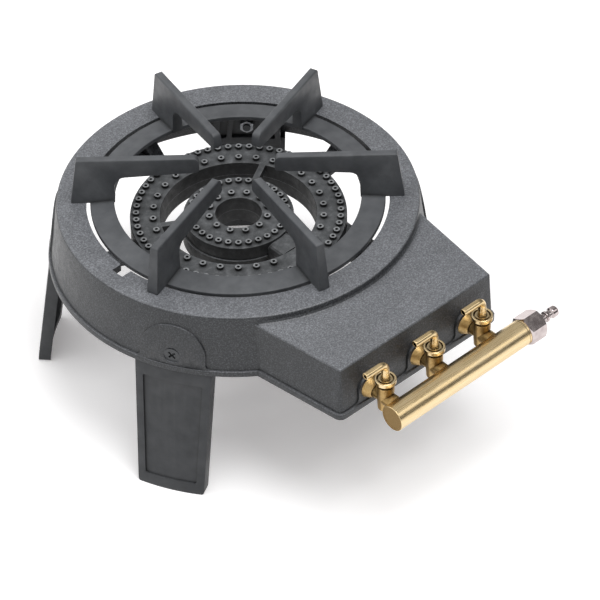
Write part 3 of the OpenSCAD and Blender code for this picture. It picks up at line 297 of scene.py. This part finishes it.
# %% Plated steel, screws and the fibre washer
def plated(name, metal, colours, gloss, spot_mm):
    material, tree, shader, place = new_material(name)
    shader.inputs["Metallic"].default_value = metal
    spots = add(tree, "ShaderNodeTexNoise", {"Scale": per_metre(spot_mm)}, {"Vector": place}).outputs["Fac"]
    colour = add(tree, "ShaderNodeValToRGB", links={"Fac": spots},
                 stops=[(0.3, colours[0]), (0.7, colours[1])]).outputs["Color"]
    rough = add(tree, "ShaderNodeMapRange",
                {"From Min": 0.3, "From Max": 0.7, "To Min": gloss[0], "To Max": gloss[1]},
                {"Value": spots}).outputs[0]
    finish_surface(tree, shader, colour, rough, spots, 0.02, "#141414", 2)
    return material


finishes["plated_steel"] = plated("nickel_plated_steel", 1.0, ["#b5a8a7", "#d0c6c4"], (0.08, 0.18), 6)
finishes["steel"] = plated("zinc_plated_steel", 1.0, ["#83868a", "#a5a8ab"], (0.3, 0.45), 4)
finishes["black_steel"] = plated("painted_over_steel", 0.0, ["#3a3c3e", "#4c4e51"], (0.4, 0.55), 2)
finishes["seal"] = plated("red_fibre", 0.0, ["#4c211a", "#653026"], (0.7, 0.85), 1)
print("made", len(finishes), "finishes")

# %% [markdown]
# Each part now takes the finish that its slot names.

# %% Put the finishes on
for name, part in nodes.items():
    part.data.materials.clear()
    part.data.materials.append(finishes[slot_of[name]])
print("dressed", len(nodes), "parts")

# %% [markdown]
# A sand casting has no sharp edges: the sand can't hold them and the paint rounds them further. A
# copy of each large casting gets its edges rolled over by a bevel. First flat triangles are
# joined into whole faces, so that the bevel finds only the true edges. The copy then stands in for
# the plain part, in the same place and on the same body.

# %% Roll the edges of the castings
weld_gap = 2e-6
flat_turn, edge_turn, shading_turn = math.radians(0.4), math.radians(28), math.radians(35)


def softened(name, width_mm):
    shape = bmesh.new()
    shape.from_mesh(nodes[name].data)
    bmesh.ops.remove_doubles(shape, verts=shape.verts, dist=weld_gap)
    bmesh.ops.dissolve_limit(shape, angle_limit=flat_turn, verts=shape.verts, edges=shape.edges)
    inner = [edge for edge in shape.edges if len(edge.link_faces) == 2]
    sharp = [edge for edge in inner if edge.calc_face_angle() > edge_turn]
    bmesh.ops.bevel(shape, geom=sharp, offset=width_mm / 1000, offset_type="WIDTH", segments=3, profile=0.5,
                    affect="EDGES", clamp_overlap=True)
    for face in shape.faces:
        face.smooth = True
    mesh = bpy.data.meshes.new(name + "_soft")
    shape.to_mesh(mesh)
    shape.free()
    mesh.set_sharp_from_angle(angle=shading_turn)
    mesh.materials.append(finishes[slot_of[name]])
    copy = bpy.data.objects.new(name + "_soft", mesh)
    bpy.context.scene.collection.objects.link(copy)
    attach(copy, body_of[name])
    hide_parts(name)
    return len(sharp)


rolled = {"pan_support": 2.2, "body_casting": 1.0, "leg_front_left": 1.6, "leg_front_right": 1.6,
          "leg_rear_left": 1.6, "leg_rear_right": 1.6}
for name, width in rolled.items():
    print(name, "edges rolled:", softened(name, width))

# %% [markdown]
# Where the right wall of the tap bay runs into the drum, the wall leans in by its draft and the drum
# narrows upwards. Near the top the wall's end falls short of the drum and leaves a narrow notch, and a
# founder fills such a corner with iron. At each height the wall's line is cut with the drum's circle,
# and the stack of the small triangles between wall and drum is the filling. Sizes are in metres.

# %% Filling in the corner of the tap bay
low_box, high_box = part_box("inner_burner_head")
drum_centre = Vector(((low_box.x + high_box.x) / 2, (low_box.y + high_box.y) / 2))
lip_z, drum_depth, drum_low_r, drum_top_r = 0.140, 0.065, 0.186, 0.1765
bay_front, bay_half_width, bay_shift, bay_back = 0.247, 0.1005, 0.0045, 0.1365
taper, draft = math.radians(8), math.radians(3.5)
along = Vector((math.sin(taper), math.cos(taper)))
outward = Vector((math.cos(taper), -math.sin(taper)))
overlap, sunk, proud = 0.002, 0.0006, 0.0001
notch_low_z, level_step, level_count = 0.164, 0.004, 9
filling_top_z, top_edge = 0.1969, 0.001


def corner_triangle(z, edge):
    r = drum_low_r + (drum_top_r - drum_low_r) * (z - lip_z) / drum_depth
    inset = (z - lip_z) * math.tan(draft)
    start = Vector((bay_shift + bay_half_width, -bay_front)) - inset * outward
    reach = -start.dot(along)
    on_drum = start + (reach - math.sqrt(reach ** 2 - start.length_squared + r ** 2)) * along
    end_y = -bay_back - inset
    wall_end = start + (end_y - start.y) / along.y * along
    behind = Vector((math.sqrt(r ** 2 - end_y ** 2), end_y)) * (1 - sunk / r)
    face = (proud - edge) * outward
    points = [wall_end - overlap * along + face, on_drum + sunk * along + face, behind]
    return [(*(point + drum_centre), z) for point in points]


levels = [(notch_low_z + level_step * i, 0) for i in range(level_count)] + [(filling_top_z, top_edge)]
shape = bmesh.new()
rings = [[shape.verts.new(point) for point in corner_triangle(z, edge)] for z, edge in levels]
for low, high in zip(rings, rings[1:]):
    for i in range(3):
        j = (i + 1) % 3
        shape.faces.new((low[i], low[j], high[j], high[i]))
shape.faces.new(reversed(rings[0]))
shape.faces.new(rings[-1])
bmesh.ops.recalc_face_normals(shape, faces=shape.faces)
filling_mesh = bpy.data.meshes.new("bay_corner_filling")
shape.to_mesh(filling_mesh)
shape.free()
filling_mesh.materials.append(finishes["sand_cast_paint"])
filling = bpy.data.objects.new("bay_corner_filling", filling_mesh)
bpy.context.scene.collection.objects.link(filling)
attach(filling, body_of["body_casting"])
print("filling of", len(filling_mesh.polygons), "faces")

# %% [markdown]
# The stove stands on a white table. The camera and the reflections see it white, while the light that
# it throws back up is held down, as a dull studio table would. A faint glow, which only those views
# see, thins the shadow on the table without lighting the stove.

# %% Floor
def seen_directly(tree):
    path = add(tree, "ShaderNodeLightPath")
    camera_ray, glossy_ray = path.outputs["Is Camera Ray"], path.outputs["Is Glossy Ray"]
    first = add(tree, "ShaderNodeMath", links={0: camera_ray, 1: glossy_ray}, operation="MAXIMUM").outputs[0]
    return add(tree, "ShaderNodeMath", links={0: first, 1: path.outputs["Is Transmission Ray"]},
               operation="MAXIMUM").outputs[0]


bpy.ops.mesh.primitive_plane_add(size=40)
floor = bpy.context.object
floor.name = "studio_floor"
table, tree, shader, place = new_material("matt_white_table")
direct = seen_directly(tree)
tone = add(tree, "ShaderNodeMix", {6: linear("#9a9a9a"), 7: linear("#ffffff")}, {"Factor": direct},
           data_type="RGBA").outputs[2]
faint = add(tree, "ShaderNodeMath", {1: 0.2}, {0: direct}, operation="MULTIPLY").outputs[0]
tree.links.new(tone, shader.inputs["Base Color"])
tree.links.new(faint, shader.inputs["Emission Strength"])
shader.inputs["Emission Color"].default_value = linear("#fffafb")
shader.inputs["Roughness"].default_value = 0.9
shader.inputs["Specular IOR Level"].default_value = 0.0
floor.data.materials.append(table)
print("floor ready")

# %% [markdown]
# The light of the photograph comes from the left and a little from behind, high up and soft: the left
# of the drum is bright, the front is half as bright and the right is nearly black. A world that
# glows on that side gives this. One wide soft sun almost overhead makes the shadow under the stove,
# and a weak strip of light at the front right draws the bright band along the brass bar.

# %% Light
def direction(azimuth_deg, tilt_deg):
    azimuth, tilt = math.radians(azimuth_deg), math.radians(tilt_deg)
    return Vector((math.sin(tilt) * math.cos(azimuth), math.sin(tilt) * math.sin(azimuth), math.cos(tilt)))


world = bpy.data.worlds.new("soft_studio")
bpy.context.scene.world = world
world.use_nodes = True
tree = world.node_tree
tree.nodes.clear()
ray = add(tree, "ShaderNodeTexCoord").outputs["Generated"]
side = add(tree, "ShaderNodeVectorMath", {1: direction(150, 62)}, {0: ray},
           operation="DOT_PRODUCT").outputs["Value"]
glow = add(tree, "ShaderNodeMapRange",
           {"From Min": -0.3, "From Max": 1.0, "To Min": 0.15, "To Max": 1.22},
           {"Value": side}).outputs[0]
sky = add(tree, "ShaderNodeBackground", {"Color": (1, 1, 1, 1)}, {"Strength": glow})
add(tree, "ShaderNodeOutputWorld", links={"Surface": sky.outputs[0]})


def softbox(name, azimuth_deg, tilt_deg, width_deg, strength):
    lamp = bpy.data.objects.new(name, bpy.data.lights.new(name, "SUN"))
    lamp.data.energy = strength * math.pi
    lamp.data.angle = math.radians(width_deg)
    lamp.rotation_euler = direction(azimuth_deg, tilt_deg).to_track_quat("Z", "Y").to_euler()
    bpy.context.scene.collection.objects.link(lamp)
    return lamp


lamps = [softbox("top_softbox", 275, 19, 28, 0.44), softbox("strip_light", 311, 49, 24, 0.06)]
print("lamps", [round(lamp.data.energy, 2) for lamp in lamps])

# %% [markdown]
# The camera stands far back with a long lens, as a catalogue photographer does, 42 degrees up and
# to the left of the taps. Its turn is built from the direction it looks in and a roll of one degree.

# %% Camera
elevation, heading, roll = math.radians(41.888), math.radians(41.974), math.radians(-1.131)
aim, distance, focal_px = Vector((0.0433, 0.0200, 0.0678)), 3.177, 3176.95
sensor_mm, picture_px = 36, 600
level_look = math.cos(elevation) * Vector((math.sin(heading), math.cos(heading), 0))
look = level_look - math.sin(elevation) * Vector((0, 0, 1))
flat_right = Vector((math.cos(heading), -math.sin(heading), 0))
flat_up = flat_right.cross(look)
right = math.cos(roll) * flat_right + math.sin(roll) * flat_up
up = -math.sin(roll) * flat_right + math.cos(roll) * flat_up
camera = bpy.data.objects.new("camera", bpy.data.cameras.new("camera"))
camera.data.lens = focal_px * sensor_mm / picture_px
camera.data.clip_end = 100
turn = Matrix((right, up, -look)).transposed().to_4x4()
camera.matrix_world = Matrix.Translation(aim - distance * look) @ turn
bpy.context.scene.collection.objects.link(camera)
bpy.context.scene.camera = camera
bpy.context.scene.view_settings.view_transform = "Standard"
print("lens", round(camera.data.lens, 1), "mm")
